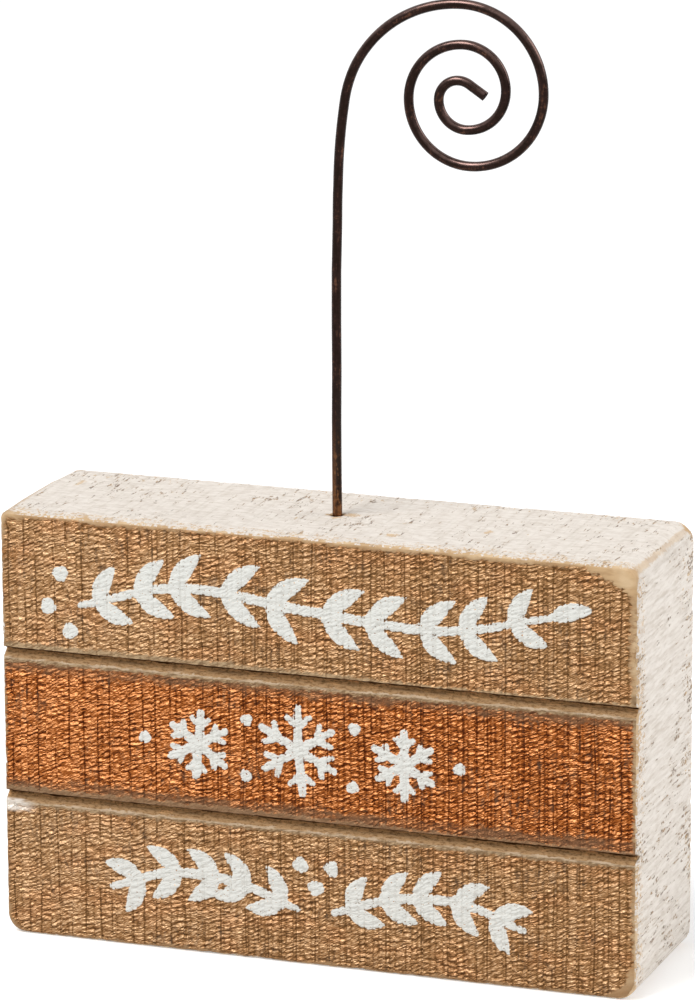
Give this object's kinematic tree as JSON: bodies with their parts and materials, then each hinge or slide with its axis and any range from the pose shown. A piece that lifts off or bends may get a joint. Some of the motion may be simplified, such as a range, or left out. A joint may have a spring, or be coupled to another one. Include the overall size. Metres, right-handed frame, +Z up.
{
  "type": "photo block holder",
  "caption": "Wooden block scored across the front like stacked boards, with a bent wire standing in its top that curls into a spiral clip for holding a photo or card.",
  "frame": {"origin": "middle of the underside of the wood block", "axes": "+Z up, +X to the right along the front, +Y from the front to the back; the grooved front faces -Y"},
  "size_m": [0.135, 0.038, 0.1955],
  "materials": {
    "painted_wood": "rough-sawn front in thin bronze and copper paint, off-white paint on the other sides, sanded back to bare wood along the edges and grooves",
    "dark_wire": "dark brown oxidised steel wire, hand-bent, with a dull sheen"
  },
  "bodies": {
    "block": {"wood_block": "painted_wood"},
    "clip": {"wire_clip": "dark_wire"}
  },
  "joints": [
    {"name": "clip_swivel", "type": "hinge", "parent": "block", "child": "clip", "pos_m": [-0.0022, 0.0011, 0.089], "axis": [0, 0, 1], "continuous": true}
  ]
}
